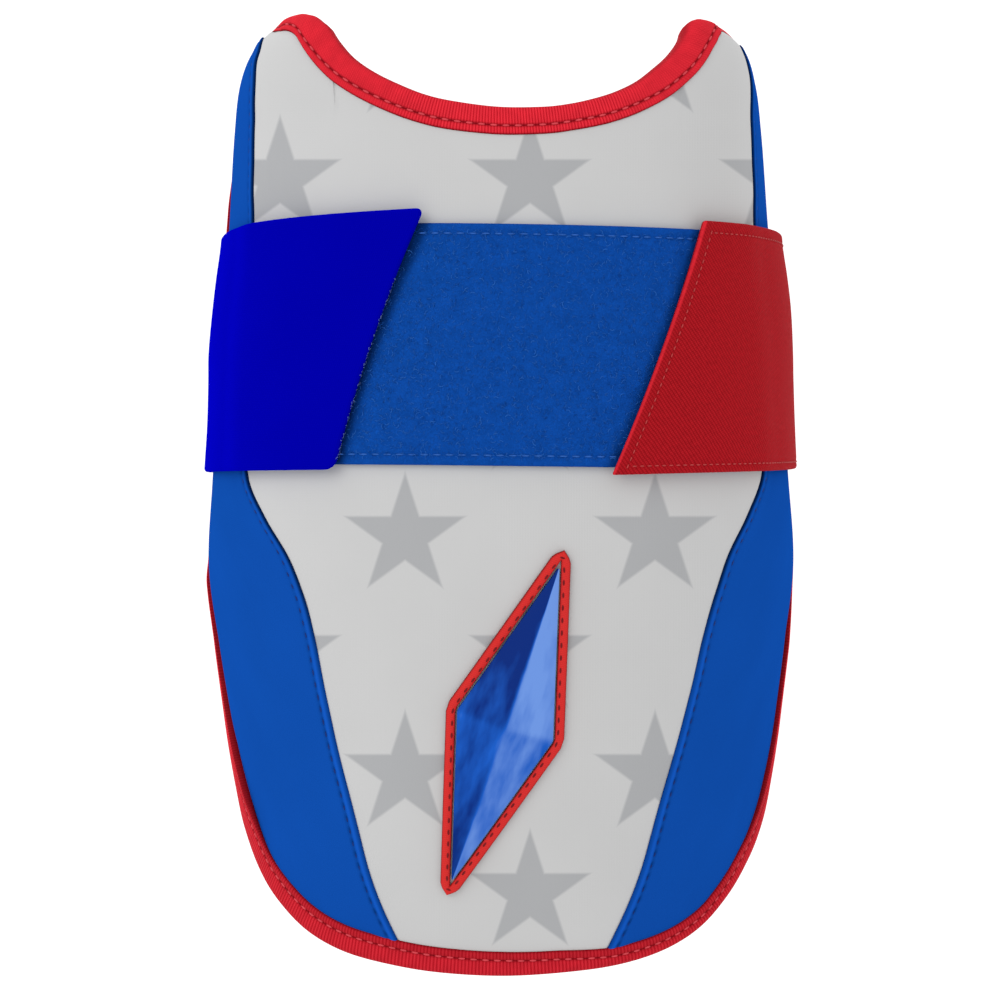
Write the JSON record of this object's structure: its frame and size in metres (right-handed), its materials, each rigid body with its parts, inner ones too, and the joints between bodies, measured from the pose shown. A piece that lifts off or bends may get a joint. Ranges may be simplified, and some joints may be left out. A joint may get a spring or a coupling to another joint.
{
  "type": "elbow guard",
  "caption": "Padded batting elbow guard: an arched shell with a taped rim, a hook-and-loop landing across its front, and straps that close behind the arm.",
  "frame": {"origin": "middle of the footprint on the surface that the guard lies on, at the underside of the straps' back run", "axes": "+Z out of the guard's front, away from the arm; +Y along the arm towards the upper arm and the neck notch; +X to the right seen from the front"},
  "size_m": [0.1537, 0.2366, 0.0822],
  "materials": {
    "printed_fabric": "smooth pale knit over padding, printed with grey stars",
    "blue_fabric": "smooth matt blue knit over padding",
    "red_tape": "ribbed red binding tape, stitched",
    "blue_loop_pile": "brushed blue loop pile",
    "blue_strap": "matt royal blue strap",
    "red_twill": "red elastic twill strap, stitched",
    "blue_film": "glossy metallic blue faceted inlay",
    "red_edging": "matt red edging, stitched"
  },
  "bodies": {
    "root": {"front_panel": "printed_fabric", "side_panel_left": "blue_fabric", "side_panel_right": "blue_fabric", "edge_binding": "red_tape", "loop_panel": "blue_loop_pile", "strap_blue": "blue_strap", "strap_red": "red_twill", "emblem": "blue_film", "emblem_border": "red_edging"}
  },
  "joints": []
}
